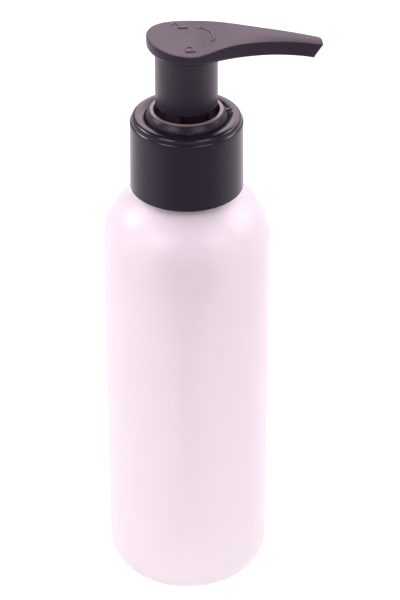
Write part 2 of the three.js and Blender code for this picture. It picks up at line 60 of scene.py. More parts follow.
FINE_SEGMENTS = 72      # facets round the small pieces
SHARP_ANGLE = 32        # edges sharper than this, in degrees, aren't shaded smooth


# ---- sizes ----

class Span:
    """A CAD node's radius about the bottle's axis, its lowest and highest level, and its two ends along X,
    the spout's direction."""

    def __init__(self, node):
        low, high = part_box(node)
        self.radius = high.y / MM
        self.bottom = low.z / MM
        self.top = high.z / MM
        self.back = low.x / MM
        self.reach = high.x / MM


BOTTLE = Span("bottle")
CLOSURE = Span("closure")
COLLAR = Span("lock_collar")
GUIDE = Span("stem_guide")
GASKET = Span("neck_gasket")
HOUSING = Span("pump_housing")
SEAT = Span("spring_seat")
BALL = Span("inlet_ball")
SPRING = Span("spring")
PISTON = Span("piston")
ROD = Span("piston_rod")
STEM = Span("stem")
HEAD = Span("actuator")
TUBE = Span("dip_tube")

THREAD_PITCH = 3.175
THREAD_TURNS = 1.5
THREAD_START = BOTTLE.top - 8.0         # the lower end of the neck's thread
NECK_ROOT = 10.75                       # the neck's outside, between the turns of its thread
NECK_BORE = 9.7
CLOSURE_BORE = 12.3
LID_HOLE = 10.3
LID_DIP = CLOSURE.top - 0.35            # the lid's surface round its hole
COLLAR_FOOT = 10.15                     # the collar's outside where it passes through the lid
RIM_RADIUS = 9.0
RIM_BORE = 8.05
SLEEVE_RADIUS = 7.6
SLEEVE_BORE = 6.5


# ---- curves ----

def lerp(a, b, t):
    """The value a share t of the way from a to b."""
    return a + (b - a) * t


def clamp(t):
    """t, held between 0 and 1."""
    return min(1.0, max(0.0, t))


def smooth(t):
    """0 below 0, 1 above 1, and an even S curve between."""
    t = clamp(t)
    return t * t * (3 - 2 * t)


def arc(centre_x, centre_y, radius, start, end, steps):
    """Points on an arc, angles in degrees, both ends included."""
    angles = [math.radians(lerp(start, end, i / steps)) for i in range(steps + 1)]
    return [(centre_x + radius * math.cos(a), centre_y + radius * math.sin(a)) for a in angles]


def cubic(p0, p1, p2, p3, steps):
    """Points on a cubic Bezier curve, both ends included."""
    axes = list(zip(p0, p1, p2, p3))
    points = []
    for i in range(steps + 1):
        t = i / steps
        weights = ((1 - t) ** 3, 3 * t * (1 - t) ** 2, 3 * t * t * (1 - t), t ** 3)
        points.append(tuple(sum(w * c for w, c in zip(weights, axis)) for axis in axes))
    return points


def height_on(curve, x):
    """The height of a curve, a list of (x, height) with rising x, at x."""
    if x <= curve[0][0]:
        return curve[0][1]
    for (x0, y0), (x1, y1) in zip(curve, curve[1:]):
        if x <= x1:
            return lerp(y0, y1, (x - x0) / (x1 - x0))
    return curve[-1][1]


def rounded(corners, steps=4):
    """A profile from corners (radius, height) or (radius, height, fillet), with each fillet as a curve.
    A profile that starts on the axis is open there, and its ends aren't rounded."""
    closed = corners[0][0] != 0
    points = []
    for i, corner in enumerate(corners):
        here = Vector(corner[:2])
        at_end = not closed and i in (0, len(corners) - 1)
        if len(corner) < 3 or at_end:
            points.append(tuple(here))
            continue
        before = Vector(corners[i - 1][:2]) - here
        after = Vector(corners[(i + 1) % len(corners)][:2]) - here
        cut = min(corner[2], 0.48 * before.length, 0.48 * after.length)
        start, end = here + before.normalized() * cut, here + after.normalized() * cut
        for k in range(steps + 1):
            t = k / steps
            point = start * (1 - t) ** 2 + here * 2 * t * (1 - t) + end * t * t
            points.append(tuple(point))
    return points


# ---- meshes ----

def revolve(profile, segments=FINE_SEGMENTS, radius_at=None):
    """Vertices and faces of a profile of (radius, height) turned about the axis.
    A profile that starts on the axis ends on it, and any other closes on itself.
    radius_at(radius, height, angle) may raise or lower a point, as on a thread."""
    vertices, faces, rings = [], [], []
    for radius, height in profile:
        if radius == 0:
            vertices.append((0, 0, height))
            rings.append([len(vertices) - 1] * segments)
            continue
        ring = []
        for k in range(segments):
            angle = FULL_TURN * k / segments
            r = radius_at(radius, height, angle) if radius_at else radius
            ring.append(len(vertices))
            vertices.append((r * math.cos(angle), r * math.sin(angle), height))
        rings.append(ring)
    if profile[0][0] != 0:
        rings.append(rings[0])
    for low, high in zip(rings, rings[1:]):
        for k in range(segments):
            n = (k + 1) % segments
            face = list(dict.fromkeys((low[k], low[n], high[n], high[k])))
            faces.append(face)
    return vertices, faces


def make_mesh(name, vertices, faces, sharp_angle=SHARP_ANGLE):
    """A mesh in metres from vertices in millimetres, smooth but for edges sharper than the angle."""
    mesh = bpy.data.meshes.new(name)
    mesh.from_pydata([Vector(v) * MM for v in vertices], [], faces)
    work = bmesh.new()
    work.from_mesh(mesh)
    bmesh.ops.remove_doubles(work, verts=work.verts, dist=1e-7)
    bmesh.ops.recalc_face_normals(work, faces=work.faces)
    work.to_mesh(mesh)
    work.free()
    mesh.shade_smooth()
    mesh.set_sharp_from_angle(angle=math.radians(sharp_angle))
    return mesh


def make_piece(name, mesh, materials, body, slot, *nodes):
    """An object that rides on a body, takes the given materials and stands for CAD nodes, whose parts it
    hides; its slot is not used.
    """
    piece = bpy.data.objects.new(name, mesh)
    bpy.context.scene.collection.objects.link(piece)
    for material in materials:
        mesh.materials.append(material)
    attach(piece, body)
    if nodes:
        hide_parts(*nodes)
    return piece


def cut_away(piece, vertices, faces):
    """Cuts a closed shape out of a piece."""
    cutter = bpy.data.objects.new("cutter", make_mesh("cutter", vertices, faces))
    bpy.context.scene.collection.objects.link(cutter)
    change = piece.modifiers.new("cut", "BOOLEAN")
    change.operation = "DIFFERENCE"
    change.solver = "EXACT"
    change.object = cutter
    bpy.context.view_layer.update()
    evaluated = piece.evaluated_get(bpy.context.evaluated_depsgraph_get())
    result = bpy.data.meshes.new_from_object(evaluated)
    piece.modifiers.clear()
    piece.data = result
    piece.data.set_sharp_from_angle(angle=math.radians(SHARP_ANGLE))
    bpy.data.objects.remove(cutter)


def sweep(path, radius, sides):
    """Vertices and faces of a round bar along a path of points, with flat ends."""
    points = [Vector(p) for p in path]
    vertices, faces = [], []
    side_way = None
    for i, point in enumerate(points):
        ahead = (points[min(i + 1, len(points) - 1)] - points[max(i - 1, 0)]).normalized()
        if side_way is None:
            side_way = ahead.orthogonal().normalized()
        side_way = (side_way - ahead * side_way.dot(ahead)).normalized()
        up_way = ahead.cross(side_way)
        for k in range(sides):
            angle = FULL_TURN * k / sides
            offset = side_way * math.cos(angle) + up_way * math.sin(angle)
            vertices.append(tuple(point + offset * radius))
    for i in range(len(points) - 1):
        for k in range(sides):
            n = (k + 1) % sides
            a, b = i * sides, (i + 1) * sides
            faces.append([a + k, a + n, b + n, b + k])
    faces.append(list(range(sides))[::-1])
    last = (len(points) - 1) * sides
    faces.append([last + k for k in range(sides)])
    return vertices, faces


def slab(ring, bottom, top, edge):
    """Vertices and faces of a flat slab with the plan of a closed ring of points, its top edge eased."""
    count = len(ring)

    def inset(amount):
        """The ring moved inwards by an amount."""
        points = []
        for i in range(count):
            before, here, after = Vector(ring[i - 1]), Vector(ring[i]), Vector(ring[(i + 1) % count])
            along = (after - before).normalized()
            points.append(here + Vector((-along.y, along.x)) * amount)
        return points

    turns = sum(Vector(ring[i - 1]).cross(Vector(ring[i])) for i in range(count))
    side = 1 if turns > 0 else -1
    levels = [(0, bottom), (0, top - edge), (edge * 0.3, top - edge * 0.3), (edge, top)]
    vertices, faces = [], []
    for amount, height in levels:
        vertices += [(p.x, p.y, height) for p in inset(amount * side)]
    for level in range(len(levels) - 1):
        for i in range(count):
            n = (i + 1) % count
            a, b = level * count, (level + 1) * count
            faces.append((a + i, a + n, b + n, b + i))
    faces.append(list(range(count))[::-1])
    last = (len(levels) - 1) * count
    faces.append([last + i for i in range(count)])
    return vertices, faces


def sector(middle, half, inner, outer):
    """The plan of a block between two radii, half degrees to each side of its middle."""
    low, high = middle - half, middle + half
    return arc(0, 0, outer, low, high, 10) + arc(0, 0, inner, high, low, 10)


def threaded_wall(radius, start, end, steps):
    """A straight wall of a profile with rows close enough for a thread."""
    return [(radius, lerp(start, end, i / steps)) for i in range(steps + 1)]


def thread_ridge(wall, start, rise):
    """A radius_at function that raises a right-handed thread by rise from the wall at one radius."""
    half_root, half_crest, run_out = 0.75, 0.3, 0.12

    def radius_at(radius, height, angle):
        if radius != wall:
            return radius
        best = 0.0
        for turn in range(math.ceil(THREAD_TURNS)):
            along = (angle / FULL_TURN + turn) / THREAD_TURNS
            if along > 1:
                continue
            centre = start + along * THREAD_TURNS * THREAD_PITCH
            off = abs(height - centre)
            section = clamp((half_root - off) / (half_root - half_crest))
            fade = smooth(min(along, 1 - along) / run_out)
            best = max(best, section * fade)
        return radius + rise * best

    return radius_at


# ---- materials ----

def ramp_node(tree, value, low, high, to_low, to_high):
    """The output of a node that remaps value from low..high to to_low..to_high, and clamps it."""
    node = tree.nodes.new("ShaderNodeMapRange")
    tree.links.new(value, node.inputs["Value"])
    names = ("From Min", "From Max", "To Min", "To Max")
    for key, number in zip(names, (low, high, to_low, to_high)):
        node.inputs[key].default_value = number
    return node.outputs["Result"]


class Nodes:
    """A new material's node tree, with short ways to add nodes and link them."""

    def __init__(self, name):
        self.material = bpy.data.materials.new(name)
        self.material.use_nodes = True
        self.tree = self.material.node_tree
        self.shader = self.tree.nodes["Principled BSDF"]
        self.place = self.tree.nodes.new("ShaderNodeTexCoord").outputs["Object"]

    def set(self, **values):
        """Sets the shader's own sockets, with _ for a space in a name."""
        for key, value in values.items():
            self.shader.inputs[key.replace("_", " ")].default_value = value

    def link(self, output, target):
        """Links an output to an input."""
        self.tree.links.new(output, target)

    def feed(self, **outputs):
        """Links outputs to the shader's own sockets, with _ for a space in a name."""
        for key, output in outputs.items():
            self.link(output, self.shader.inputs[key.replace("_", " ")])

    def scaled(self, stretch):
        """The piece's own coordinates, stretched along each axis."""
        node = self.tree.nodes.new("ShaderNodeMapping")
        node.inputs["Scale"].default_value = stretch
        self.link(self.place, node.inputs["Vector"])
        return node.outputs["Vector"]

    def noise(self, size_mm, detail, stretch=(1, 1, 1)):
        """A noise whose grains are about size_mm across."""
        node = self.tree.nodes.new("ShaderNodeTexNoise")
        node.inputs["Scale"].default_value = 1 / (size_mm * MM)
        node.inputs["Detail"].default_value = detail
        self.link(self.scaled(stretch), node.inputs["Vector"])
        return node.outputs["Fac"]

    def ramp(self, value, low, high, to_low, to_high):
        """value, remapped from low..high to to_low..to_high, and clamped."""
        return ramp_node(self.tree, value, low, high, to_low, to_high)

    def mix(self, share, first, second):
        """A colour that goes from first to second with share; each is a colour or an output."""
        node = self.tree.nodes.new("ShaderNodeMix")
        node.data_type = "RGBA"
        self.link(share, node.inputs["Factor"])
        for socket, colour in ((node.inputs[6], first), (node.inputs[7], second)):
            if isinstance(colour, tuple):
                socket.default_value = (*colour, 1)
            else:
                self.link(colour, socket)
        return node.outputs[2]

    def bump(self, height, depth_mm, below=None):
        """Gives the shader a bump from a height of 0 to 1, depth_mm deep, on top of another."""
        node = self.tree.nodes.new("ShaderNodeBump")
        node.inputs["Distance"].default_value = depth_mm * MM
        self.link(height, node.inputs["Height"])
        if below is not None:
            self.link(below, node.inputs["Normal"])
        self.feed(Normal=node.outputs["Normal"])
        return node.outputs["Normal"]


def black_plastic(name, roughness, tint, gloss=0.25, grain_mm=0.12, grain_depth=0.001):
    """Black moulded polypropylene: cloudy in its gloss, with a fine grain and a few pale specks of dust."""
    look = Nodes(name)
    look.set(Specular_IOR_Level=gloss)
    clouds = look.noise(5.0, 4.0)
    dust = look.ramp(look.noise(0.35, 2.0), 0.76, 0.82, 0.0, 1.0)
    dust_colour = (0.10, 0.09, 0.10)
    lighter = tuple(c * 1.25 for c in tint)
    base = look.mix(clouds, tint, lighter)
    look.feed(Base_Color=look.mix(dust, base, dust_colour))
    look.feed(Roughness=look.ramp(clouds, 0.0, 1.0, roughness - 0.04, roughness + 0.05))
    waves = look.bump(look.noise(3.0, 1.0), 0.006)
    look.bump(look.noise(grain_mm, 2.0), grain_depth, waves)
    return look.material


def frosted_bottle():
    """Milky polyethylene: light passes through it softly, its wall is a little uneven, its surface satin."""
    look = Nodes("bottle_polyethylene")
    look.set(IOR=1.51, Specular_IOR_Level=0.3, Transmission_Weight=0.50,
             Subsurface_Weight=0.4, Subsurface_Scale=0.004, Subsurface_Radius=(1.0, 0.9, 0.95))
    clouds = look.noise(14.0, 3.0, (1, 1, 0.35))
    look.feed(Base_Color=look.mix(clouds, (0.955, 0.94, 0.935), (0.93, 0.915, 0.91)))
    streaks = look.noise(2.2, 2.0, (1, 1, 0.06))
    look.feed(Roughness=look.ramp(streaks, 0.0, 1.0, 0.31, 0.41))
    waves = look.bump(look.noise(9.0, 2.0, (1, 1, 0.3)), 0.05)
    look.bump(look.noise(0.16, 2.0), 0.004, waves)
    return look.material


def natural_plastic(name, colour, transmission, roughness):
    """Uncoloured moulded plastic of the inner parts, with flow marks and a fine surface."""
    look = Nodes(name)
    look.set(IOR=1.49, Transmission_Weight=transmission)
    clouds = look.noise(4.0, 3.0)
    darker = tuple(c * 0.93 for c in colour)
    look.feed(Base_Color=look.mix(clouds, colour, darker))
    look.feed(Roughness=look.ramp(clouds, 0.3, 0.7, roughness - 0.05, roughness + 0.05))
    look.bump(look.noise(0.25, 2.0), 0.004)
    return look.material


def gasket_foam():
    """White closed-cell foam, pitted by its cells, with painted shade darkening each pit."""
    look = Nodes("gasket_foam")
    look.set(Roughness=0.85)
    cell_size = 0.22 * MM
    cells = look.tree.nodes.new("ShaderNodeTexVoronoi")
    cells.inputs["Scale"].default_value = 1 / cell_size
    look.link(look.place, cells.inputs["Vector"])
    depth = cells.outputs["Distance"]
    # painted shade: the colour darkens towards the bottom of each cell's pit, where the bump sinks
    look.feed(Base_Color=look.mix(depth, (0.72, 0.71, 0.68), (0.88, 0.87, 0.85)))
    look.bump(depth, 0.03)
    return look.material


def bright_steel(name, roughness):
    """Stainless steel, with fine marks left by its working."""
    look = Nodes(name)
    look.set(Metallic=1.0)
    marks = look.noise(0.4, 3.0)
    look.feed(Base_Color=look.mix(marks, (0.62, 0.61, 0.60), (0.45, 0.45, 0.46)))
    look.feed(Roughness=look.ramp(marks, 0.3, 0.7, roughness - 0.06, roughness + 0.08))
    look.bump(marks, 0.003)
    return look.material


BLACK_SATIN = black_plastic("black_satin", 0.22, (0.0065, 0.0050, 0.0115))
BLACK_HEAD = black_plastic("black_head", 0.325, (0.0120, 0.0090, 0.0165))
BLACK_GRAINED = black_plastic("black_grained", 0.42, (0.020, 0.015, 0.020), grain_mm=0.10, grain_depth=0.004)
BLACK_RING = black_plastic("black_ring", 0.33, (0.0070, 0.0060, 0.0110), gloss=0.2)
BLACK_GUIDE = black_plastic("black_guide", 0.45, (0.0110, 0.0085, 0.0115), gloss=0.15)
# painted light: the collar's bore is coloured a black many times paler than the collar's own, standing in
# for light in the shaded channel
BLACK_INSIDE_PAINTED_LIGHT = black_plastic("black_inside_painted_light", 0.45, (0.1000, 0.0760, 0.1000))
BLACK_MARK = black_plastic("black_mark", 0.33, (0.0100, 0.0080, 0.0130))
# painted highlight: the rim's flat top is coloured pale brown, standing in for the reflection along it
RIM_PAINTED_HIGHLIGHT = black_plastic("rim_painted_highlight", 0.34, (0.125, 0.103, 0.097), gloss=0.5)
FROSTED = frosted_bottle()
NATURAL = natural_plastic("natural_polypropylene", (0.72, 0.77, 0.92), 0.7, 0.36)
WHITE = natural_plastic("white_polyethylene", (0.82, 0.82, 0.82), 0.05, 0.42)
CLEAR_TUBE = natural_plastic("tube_polyethylene", (0.86, 0.86, 0.86), 0.6, 0.36)
FOAM = gasket_foam()
WIRE_STEEL = bright_steel("wire_steel", 0.36)
BALL_STEEL = bright_steel("ball_steel", 0.14)


# ---- bottle ----

BASE_FILLET = 7.3
BASE = 1.3              # the base's thickness where it stands
WALL = 1.1
SHOULDER_START = BOTTLE.top - 35.1
SHOULDER_END = BOTTLE.top - 16.1


def shoulder(inset, steps):
    """The shoulder's curve from the straight wall to the neck, moved inwards by inset."""
    wide = BOTTLE.radius - inset
    curve = cubic(
        (wide, SHOULDER_START), (wide, SHOULDER_START + 9.95),
        (wide + 0.4, SHOULDER_START + 13.8 - inset), (12.0 - inset, SHOULDER_END - inset), steps)
    return [(min(radius, wide), height) for radius, height in curve]


def bottle():
    """The blown bottle, with a pushed-up base, an even wall and a thread on its neck."""
    centre = BOTTLE.radius - BASE_FILLET
    inner_fillet = BASE_FILLET - WALL
    base_outside = rounded([(0, 1.1), (7.5, 0.9, 2.0), (10.4, 0.0, 2.0), (centre, 0.0)], 6)
    base_inside = rounded([(centre, BASE), (10.0, BASE, 2.0), (7.5, 2.2, 2.0), (0, 2.4)], 6)
    profile = [
        *base_outside[:-1],
        *arc(centre, BASE_FILLET, BASE_FILLET, -90, 0, 12),
        *shoulder(0, 24),
        *threaded_wall(NECK_ROOT, SHOULDER_END + 0.8, BOTTLE.top - 0.4, 56),
        (NECK_ROOT - 0.3, BOTTLE.top),
        (NECK_BORE + 0.2, BOTTLE.top),
        (NECK_BORE, BOTTLE.top - 0.3),
        (NECK_BORE, SHOULDER_END - 0.5),
        *shoulder(WALL, 20)[::-1],
        *arc(centre, BASE + inner_fillet, inner_fillet, 0, -90, 10),
        *base_inside[1:],
    ]
    ridge = thread_ridge(NECK_ROOT, THREAD_START, rise=1.0)
    mesh = make_mesh("bottle_shell", *revolve(profile, SEGMENTS, ridge), sharp_angle=40)
    make_piece("bottle_shell", mesh, [FROSTED], "bottle", "bottle_plastic", "bottle")


# ---- closure and the stack it clamps ----

def closure():
    """The screw cap: drafted side, rounded top edge over a fine ledge, hole in the lid, thread inside."""
    top = CLOSURE.top
    lid_underside = top - 1.2
    ledge = CLOSURE.radius - 0.15
    edge_radius = 1.2
    profile = [
        (CLOSURE_BORE + 0.35, CLOSURE.bottom),
        (CLOSURE.radius - 0.2, CLOSURE.bottom),
        (CLOSURE.radius, CLOSURE.bottom + 0.2),
        (ledge - 0.04, top - 3.6),
        (ledge, top - 2.0),
        (ledge - 0.02, top - 1.74),
        (ledge - 0.06, top - 1.66),
        (ledge - 0.36, top - 1.41),
        *arc(ledge - 0.36 - edge_radius, top - 0.02 - edge_radius, edge_radius, 0, 90, 12),
        (ledge - 2.2, top),
        (LID_HOLE + 0.18, LID_DIP + 0.03),
        (LID_HOLE, LID_DIP - 0.12),
        (LID_HOLE, lid_underside),
        *threaded_wall(CLOSURE_BORE, lid_underside - 0.3, CLOSURE.bottom + 0.6, 60),
    ]
    ridge = thread_ridge(CLOSURE_BORE, THREAD_START - THREAD_PITCH / 2, rise=-1.15)
    mesh = make_mesh("closure_cap", *revolve(profile, SEGMENTS, ridge))
    make_piece("closure_cap", mesh, [BLACK_SATIN], "closure", "black_plastic", "closure")


def collar():
    """The collar: flange under the lid, slanted tower, flat rim coloured pale as a painted highlight, and
    channel for the sleeve, its bore coloured paler as painted light.
    """
    rim = COLLAR.top
    bore, skirt = 7.95, 8.45
    flange_low, flange_high = 131.3, 132.05
    base = rounded([
        (bore, COLLAR.bottom), (skirt, COLLAR.bottom), (skirt, flange_low), (COLLAR.radius, flange_low, 0.2),
        (COLLAR.radius, flange_high, 0.2), (COLLAR_FOOT, flange_high)])
    tower = cubic((COLLAR_FOOT, LID_DIP - 0.3), (COLLAR_FOOT, LID_DIP + 0.35),
                  (9.35, rim - 0.6), (9.12, rim - 0.36), 12)
    top = [
        (RIM_RADIUS + 0.02, rim - 0.25), (RIM_RADIUS, rim - 0.12), (RIM_RADIUS - 0.05, rim - 0.03),
        (RIM_RADIUS - 0.13, rim), (RIM_BORE + 0.12, rim), (RIM_BORE, rim - 0.12),
        (bore + 0.1, rim - 1.1), (bore, rim - 1.5),
    ]
    mesh = make_mesh("collar_ring", *revolve(base + tower + top, SEGMENTS))
    make_piece("collar_ring", mesh, [BLACK_RING, RIM_PAINTED_HIGHLIGHT, BLACK_INSIDE_PAINTED_LIGHT],
               "pump_body", "black_plastic", "lock_collar")
    # the rim's top faces take the painted highlight, and the bore's faces the painted light
    for face in mesh.polygons:
        middle = face.center / MM
        radius = math.hypot(middle.x, middle.y)
        if middle.z > rim - 0.1 and RIM_BORE < radius < RIM_RADIUS:
            face.material_index = 1
        elif radius < RIM_BORE:
            face.material_index = 2


def collar_pointer():
    """The small raised arrow on the collar's foot that shows where the spout locks."""
    foot = CLOSURE.top + 0.32
    top = foot + 0.33
    middle = 10.2
    corners = [(9.5, -0.75), (11.3, 0.0), (9.5, 0.75)]
    vertices = [(x, y, foot) for x, y in corners]
    vertices += [(lerp(x, middle, 0.12), y * 0.85, top) for x, y in corners]
    faces = [(2, 1, 0), (3, 4, 5), (0, 1, 4, 3), (1, 2, 5, 4), (2, 0, 3, 5)]
    mesh = make_mesh("collar_pointer", vertices, faces)
    make_piece("collar_pointer", mesh, [BLACK_RING], "pump_body", "black_plastic")


def neck_gasket():
    """The foam ring under the housing's flange."""
    bore = 9.65
    mesh = make_mesh("foam_gasket", *revolve(rounded([
        (bore, GASKET.bottom, 0.15), (GASKET.radius, GASKET.bottom, 0.15),
        (GASKET.radius, GASKET.top, 0.15), (bore, GASKET.top, 0.15)]), SEGMENTS))
    make_piece("foam_gasket", mesh, [FOAM], "pump_body", "gasket_foam", "neck_gasket")


# ---- inside the pump ----

def turned_piece(name, corners, material, body, slot, *nodes, segments=FINE_SEGMENTS):
    """A round piece from rounded corners."""
    mesh = make_mesh(name, *revolve(rounded(corners), segments))
    return make_piece(name, mesh, [material], body, slot, *nodes)


def pump_housing():
    """Flange, cup, cylinder, ball chamber, valve seat and dip-tube socket, in one moulding."""
    socket, socket_outside, socket_end = 2.8, 3.9, 77.3
    inlet, seat_low, seat_high = 1.3, 79.0, 80.5
    chamber, floor = 2.6, 85.0
    bore, outside = 6.4, 7.4
    cup_bore, cup_outside, cup_floor, flange = 8.75, 9.35, 120.9, 130.2
    piece = turned_piece("pump_cylinder", [
        (socket, HOUSING.bottom, 0.2), (socket_outside, HOUSING.bottom, 0.3),
        (socket_outside, seat_high, 0.8), (outside, floor - 1.0, 1.5), (outside, cup_floor - 2.0, 0.8),
        (cup_outside, cup_floor - 0.2, 0.6), (cup_outside, flange, 0.1),
        (HOUSING.radius, flange, 0.15), (HOUSING.radius, HOUSING.top, 0.2),
        (cup_bore, HOUSING.top, 0.2), (cup_bore, cup_floor, 0.2), (bore, cup_floor, 0.3), (bore, floor, 0.3),
        (chamber, floor, 0.3), (chamber, seat_high, 0.2), (inlet, seat_low, 0.1), (inlet, socket_end, 0.1),
        (socket, socket_end, 0.1),
    ], NATURAL, "pump_body", "natural_plastic", "pump_housing", segments=96)
    vent, vent_radius = cup_floor - 1.7, 0.4
    cut_away(piece, *sweep([(bore - 0.4, 0, vent), (outside + 0.6, 0, vent)], vent_radius, 16))


def stem_guide():
    """The plug in the housing's cup, its guide tube, and the two ribs that stop the head's turn."""
    floor = GUIDE.bottom + 1.4
    hole, bore, outside = 2.9, 4.1, 5.0
    turned_piece("guide_plug", [
        (hole, GUIDE.bottom, 0.1), (GUIDE.radius, GUIDE.bottom, 0.3), (GUIDE.radius, floor, 0.2),
        (outside, floor, 0.3), (outside, GUIDE.top, 0.2), (bore, GUIDE.top, 0.2), (bore, floor, 0.2),
        (hole, floor, 0.1),
    ], BLACK_GUIDE, "pump_body", "black_plastic", "stem_guide")
    for number in range(2):
        plan = sector(45 + 180 * number, 23, 4.8, 6.1)
        name = f"guide_rib_{number + 1}"
        make_piece(name, make_mesh(name, *slab(plan, floor - 0.2, GUIDE.top - 0.35, 0.08)),
                   [BLACK_GUIDE], "pump_body", "black_plastic")


def piston_and_rod():
    """The double-lipped piston, and the rod with its valve disc and spring pin."""
    low, high = PISTON.bottom, PISTON.top
    web, web_low, web_high = 4.8, 113.4, 114.4
    bore, hub, waist, lip = 2.0, 3.4, 5.7, 6.2
    turned_piece("piston_cup", [
        (bore, low + 0.6, 0.1), (hub, low + 0.6, 0.2), (hub, web_low, 0.3), (web, web_low, 0.3),
        (lip - 0.4, low, 0.1), (lip, low, 0.1), (waist, low + 1.2, 0.5), (waist, high - 1.2, 0.5),
        (lip, high, 0.1), (lip - 0.4, high, 0.1), (web, web_high, 0.3), (hub, web_high, 0.3),
        (hub, high, 0.2), (bore, high, 0.1),
    ], WHITE, "piston", "piston_plastic", "piston")
    pin, shank = 2.5, 1.3
    disc, disc_low, disc_high = 3.9, 109.5, 110.7
    turned_piece("valve_rod", [
        (0, ROD.bottom), (pin - 0.4, ROD.bottom, 0.2), (pin, ROD.bottom + 0.6, 0.2), (pin, disc_low, 0.1),
        (disc, disc_low, 0.2), (disc, disc_high, 0.2), (shank, disc_high + 0.6, 0.3), (shank, ROD.top, 0.3),
        (0, ROD.top),
    ], NATURAL, "plunger", "natural_plastic", "piston_rod")


def stem():
    """The tube from the head's socket to the flange that pushes the piston."""
    bore, outside = 1.6, 2.6
    turned_piece("hollow_stem", [
        (bore, STEM.bottom, 0.1), (STEM.radius, STEM.bottom, 0.2), (STEM.radius, STEM.bottom + 1.0, 0.2),
        (outside, STEM.bottom + 1.6, 0.3), (outside, STEM.top, 0.15), (bore, STEM.top, 0.1),
    ], NATURAL, "head", "natural_plastic", "stem")


def spring_seat():
    """The disc over the ball chamber, with its spigot and three ports for the oil."""
    bore, spigot, disc_top = 1.4, 2.5, SEAT.bottom + 1.0
    piece = turned_piece("seat_disc", [
        (bore, SEAT.bottom, 0.1), (SEAT.radius, SEAT.bottom, 0.2), (SEAT.radius, disc_top, 0.2),
        (spigot, disc_top, 0.3), (spigot, SEAT.top, 0.2), (bore, SEAT.top, 0.1),
    ], NATURAL, "pump_body", "natural_plastic", "spring_seat")
    port, port_circle = 0.8, SEAT.radius - 1.2
    for x, y in arc(0, 0, port_circle, 0, 240, 2):
        cut_away(piece, *sweep([(x, y, SEAT.bottom - 1), (x, y, SEAT.bottom + 2)], port, 16))


def return_spring():
    """The steel spring, with its end turns wound close, on a mesh of its own."""
    wire, coils = 0.4, 7    # the wire's radius, and the turns, of which one at each end is closed
    steps = coils * 36
    mean = SPRING.radius - wire
    low, high = SPRING.bottom + wire, SPRING.top - wire
    closed_pitch = 2 * wire + 0.05
    path = []
    for i in range(steps + 1):
        turn = coils * i / steps
        closed = min(turn, 1) + max(turn - coils + 1, 0)
        free = clamp((turn - 1) / (coils - 2))
        height = low + closed * closed_pitch + free * (high - low - 2 * closed_pitch)
        angle = FULL_TURN * turn
        path.append((mean * math.cos(angle), mean * math.sin(angle), height))
    mesh = make_mesh("coil_spring", *sweep(path, wire, 10), sharp_angle=60)
    piece = make_piece("coil_spring", mesh, [WIRE_STEEL], "pump_body", "steel", "spring")
    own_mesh(piece)


def inlet_ball():
    """The steel ball, as a turned half-circle."""
    radius = BALL.radius
    centre = (BALL.top + BALL.bottom) / 2
    half = arc(0, centre, radius, -90, 90, 24)
    half[0], half[-1] = (0, centre - radius), (0, centre + radius)
    make_piece("steel_ball", make_mesh("steel_ball", *revolve(half, 48), sharp_angle=180),
               [BALL_STEEL], "inlet_ball", "steel", "inlet_ball")


def dip_tube():
    """The tube, cut at a slant at its foot."""
    bore, slant = 1.7, 4.0
    straight = TUBE.bottom + 12
    vertices, faces = revolve([
        (bore, TUBE.bottom), (TUBE.radius, TUBE.bottom), (TUBE.radius, straight), (TUBE.radius, TUBE.top),
        (bore, TUBE.top), (bore, straight)])
    slope = slant / (2 * TUBE.radius)
    cut = [
        (x, y, z + slope * (x + TUBE.radius) if z == TUBE.bottom else z)
        for x, y, z in vertices
    ]
    mesh = make_mesh("suction_tube", cut, faces)
    make_piece("suction_tube", mesh, [CLEAR_TUBE], "pump_body", "tube_plastic", "dip_tube")


# ---- the pump head ----

HALF_WIDTH = HEAD.radius
BACK = HEAD.back
TIP = HEAD.reach
TIP_HALF = 2.2            # half the spout's width at its tip
TIP_RAKE = 2.0            # how far the tip's lower edge lies behind its upper edge
TIP_WALL = 1.2            # how far the middle lines of the top and the underside end before the tip
TOP_EDGE = 0.25           # the rounding of the top's edge
CEILING = 150.1           # the underside of the head inside the sleeve
CHANNEL_START = 151.2     # the level of the oil's channel at the axis
CHANNEL_RADIUS = 1.0
SOCKET_BORE = 2.9         # the stem's socket
SOCKET_FOOT = 141.0
STEM_HOLE = 1.6
JUNCTION = SLEEVE_RADIUS + 0.3
JUNCTION_X = 14.0         # past here the underside runs to the spout's middle, not to the sleeve
ACROSS = 12               # steps from the middle of the top to its edge
UNDER = 8                 # steps across the underside

DIP = HEAD.top - 1.2      # the level of the top's middle, under the finger

# the middle of the top, as (x, height): it dips under the finger, rises to the spout's root and droops
TOP_LINE = [
    *cubic((BACK, HEAD.top), (-6.5, 154.4), (-2.5, DIP), (0.5, DIP), 24),
    *cubic((0.5, DIP), (4.0, DIP), (6.0, 154.33), (11.0, 154.3), 24)[1:],
    *cubic((11.0, 154.3), (18.0, 154.28), (25.0, 153.2), (TIP, 151.1), 40)[1:],
]

# the side wall's lower edge, before it is rounded
LOW_LINE = [
    *cubic((BACK, 151.85), (-6.0, 151.4), (-1.0, 151.3), (5.0, 150.98), 24),
    *cubic((5.0, 150.98), (10.0, 150.75), (21.0, 150.45), (TIP - TIP_RAKE, 147.3), 40)[1:],
]


def plan_side():
    """Half of the head's plan, from the back round the far side to the middle of the tip."""
    corner = 0.7
    back = cubic((BACK, 0), (BACK, 5.4), (-5.6, HALF_WIDTH), (0, HALF_WIDTH), 26)
    flank = cubic((0, HALF_WIDTH), (5.7, HALF_WIDTH), (9.6, 3.8), (TIP, TIP_HALF), 60)[1:]
    flank = [point for point in flank if point[0] < TIP - corner]
    turn = arc(TIP - corner, TIP_HALF - corner, corner, 84, 12, 6)
    end = [(TIP, y) for y in (1.25, 1.0, 0.7, 0.35)]
    return back + flank + turn + end


